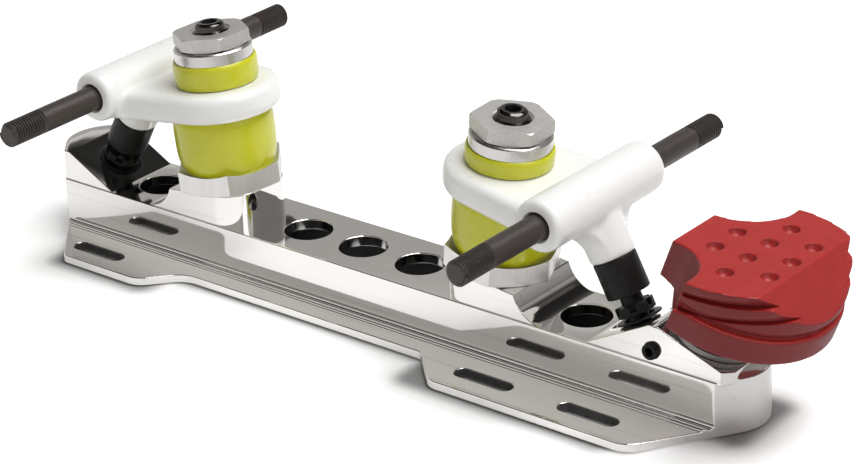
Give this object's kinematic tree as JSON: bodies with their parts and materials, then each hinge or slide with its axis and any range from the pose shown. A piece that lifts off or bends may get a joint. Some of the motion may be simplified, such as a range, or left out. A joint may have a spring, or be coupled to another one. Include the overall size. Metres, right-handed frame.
{
  "type": "roller skate plate",
  "caption": "Polished quad roller skate plate lying on its boot face, with sprung steering trucks on lime cushions, bare threaded axles and a red rubber toe stop.",
  "frame": {"origin": "on the boot face, midway between the two axles, on the centre line", "axes": "+X to the toe stop, +Y across the plate, +Z away from the boot"},
  "size_m": [0.2961, 0.13, 0.0807],
  "materials": {
    "polished_aluminium": "mirror polished",
    "satin_aluminium": "turned",
    "bright_steel": "zinc plated",
    "black_steel": "black oxide",
    "white_enamel": "gloss white",
    "lime_cushion": "smooth moulded",
    "black_nylon": "moulded",
    "red_rubber": "moulded"
  },
  "bodies": {
    "plate_body": {"plate": "polished_aluminium", "clamp_screw": "black_steel", "front_kingpin": "bright_steel", "front_base_nut": "satin_aluminium", "front_lower_cushion": "lime_cushion", "front_upper_cushion": "lime_cushion", "front_retainer": "satin_aluminium", "front_kingpin_nut": "bright_steel", "front_pivot_cup": "black_nylon", "rear_kingpin": "bright_steel", "rear_base_nut": "satin_aluminium", "rear_lower_cushion": "lime_cushion", "rear_upper_cushion": "lime_cushion", "rear_retainer": "satin_aluminium", "rear_kingpin_nut": "bright_steel", "rear_pivot_cup": "black_nylon"},
    "front_truck": {"front_hanger": "white_enamel", "front_axle": "black_steel", "front_pivot_sleeve": "black_steel", "front_pivot_pin": "black_steel"},
    "rear_truck": {"rear_hanger": "white_enamel", "rear_axle": "black_steel", "rear_pivot_sleeve": "black_steel", "rear_pivot_pin": "black_steel"},
    "toe_stop_nut": {"toe_stop_jam_nut": "bright_steel"},
    "toe_stop": {"toe_stop_stem": "bright_steel", "toe_stop_rubber": "red_rubber"}
  },
  "joints": [
    {"name": "front_truck_steer", "type": "hinge", "parent": "plate_body", "child": "front_truck", "pos_m": [0.10724, 0, 0.01931], "axis": [-0.7983, 0, 0.6022], "range_deg": [-8, 8], "stiffness_Nm_per_rad": 12, "deforming": ["front_lower_cushion", "front_upper_cushion"]},
    {"name": "rear_truck_steer", "type": "hinge", "parent": "plate_body", "child": "rear_truck", "pos_m": [-0.10724, 0, 0.01931], "axis": [0.7983, 0, 0.6022], "range_deg": [-8, 8], "stiffness_Nm_per_rad": 12, "deforming": ["rear_lower_cushion", "rear_upper_cushion"]},
    {"name": "toe_stop_turn", "type": "hinge", "parent": "plate_body", "child": "toe_stop_nut", "pos_m": [0.1326, 0, 0.0252], "axis": [0.3502, 0, 0.9367], "range_deg": [0, 1530]},
    {"name": "toe_stop_extend", "type": "slide", "parent": "toe_stop_nut", "child": "toe_stop", "axis": [0.3502, 0, 0.9367], "range_m": [0, 0.0061]}
  ],
  "couplings": [
    {"joint": "toe_stop_extend", "follows": "toe_stop_turn", "m_per_rad": 0.00022458}
  ]
}
